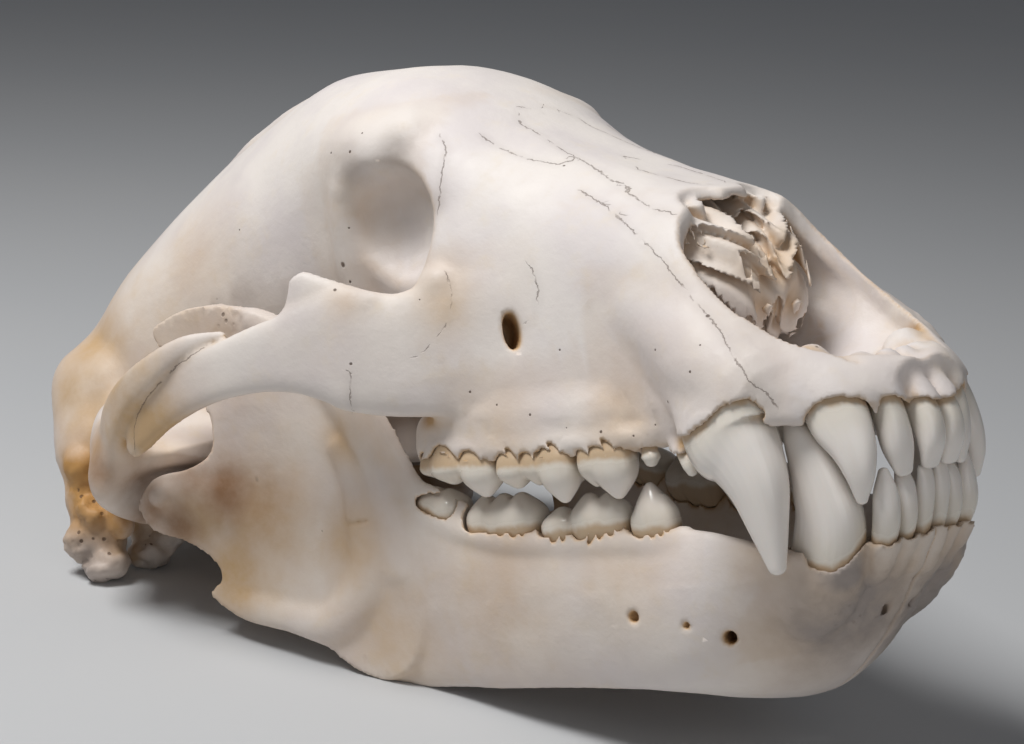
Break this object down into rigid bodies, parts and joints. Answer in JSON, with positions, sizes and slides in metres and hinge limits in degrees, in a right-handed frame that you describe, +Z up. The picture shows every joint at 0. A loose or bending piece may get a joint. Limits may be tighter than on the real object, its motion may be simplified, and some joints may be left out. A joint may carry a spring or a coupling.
{
  "type": "bear skull",
  "caption": "Cleaned bear skull with its lower jaw and teeth, closed and tipped back so that it rests on the jaw's heels and the processes behind the ears.",
  "frame": {"origin": "centre of the box's bottom face, on the surface that the skull rests on", "axes": "+X forwards to the front teeth, +Y to the skull's left, +Z up from the surface that it rests on"},
  "size_m": [0.4116, 0.2288, 0.2069],
  "materials": {
    "cranium_bone": "matte",
    "mandible_bone": "matte",
    "tooth_enamel": "satin"
  },
  "bodies": {
    "root": {"cranium": "cranium_bone", "mandible_right": "mandible_bone", "mandible_left": "mandible_bone", "upper_incisor_1_right": "tooth_enamel", "upper_incisor_2_right": "tooth_enamel", "upper_incisor_3_right": "tooth_enamel", "upper_canine_right": "tooth_enamel", "upper_premolar_1_right": "tooth_enamel", "upper_premolar_3_right": "tooth_enamel", "upper_premolar_4_right": "tooth_enamel", "upper_molar_1_right": "tooth_enamel", "upper_molar_2_right": "tooth_enamel", "lower_incisor_1_right": "tooth_enamel", "lower_incisor_2_right": "tooth_enamel", "lower_incisor_3_right": "tooth_enamel", "lower_canine_right": "tooth_enamel", "lower_premolar_4_right": "tooth_enamel", "lower_molar_1_right": "tooth_enamel", "lower_molar_2_right": "tooth_enamel", "lower_molar_3_right": "tooth_enamel", "upper_incisor_1_left": "tooth_enamel", "upper_incisor_2_left": "tooth_enamel", "upper_incisor_3_left": "tooth_enamel", "upper_canine_left": "tooth_enamel", "upper_premolar_1_left": "tooth_enamel", "upper_premolar_3_left": "tooth_enamel", "upper_premolar_4_left": "tooth_enamel", "upper_molar_1_left": "tooth_enamel", "upper_molar_2_left": "tooth_enamel", "lower_incisor_1_left": "tooth_enamel", "lower_incisor_2_left": "tooth_enamel", "lower_incisor_3_left": "tooth_enamel", "lower_canine_left": "tooth_enamel", "lower_premolar_4_left": "tooth_enamel", "lower_molar_1_left": "tooth_enamel", "lower_molar_2_left": "tooth_enamel", "lower_molar_3_left": "tooth_enamel"}
  },
  "joints": []
}
